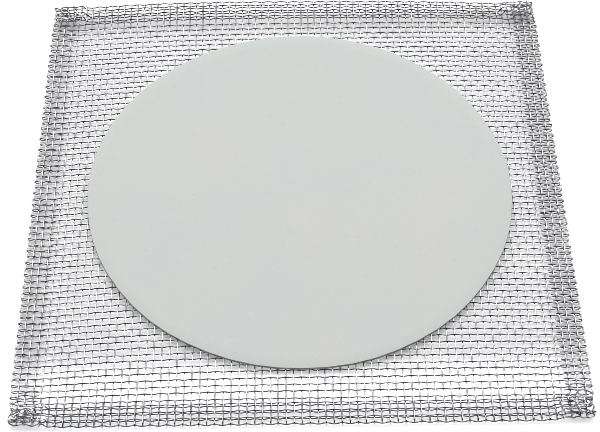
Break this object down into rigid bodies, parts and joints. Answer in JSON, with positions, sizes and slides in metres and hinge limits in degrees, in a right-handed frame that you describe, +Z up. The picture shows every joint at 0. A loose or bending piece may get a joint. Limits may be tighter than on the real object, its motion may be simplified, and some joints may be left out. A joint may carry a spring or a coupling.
{
  "type": "wire gauze",
  "caption": "Square of woven wire cloth with folded hems and a round ceramic centre, laid on a tripod to spread a burner's heat under glassware.",
  "frame": {"origin": "centre of the square, on the plane of the disc's underside", "axes": "+X to the right along the weft, +Y to the back along the warp, +Z up out of the face that the hems are folded onto"},
  "size_m": [0.125, 0.125, 0.0037],
  "materials": {
    "wire": "bright zinc-coated wire, slightly dulled",
    "ceramic": "matte, smooth, faintly mottled"
  },
  "bodies": {
    "root": {"weft_wires": "wire", "warp_wires": "wire", "front_hem_wires": "wire", "back_hem_wires": "wire", "left_hem_wires": "wire", "right_hem_wires": "wire", "ceramic_disc": "ceramic"}
  },
  "joints": []
}
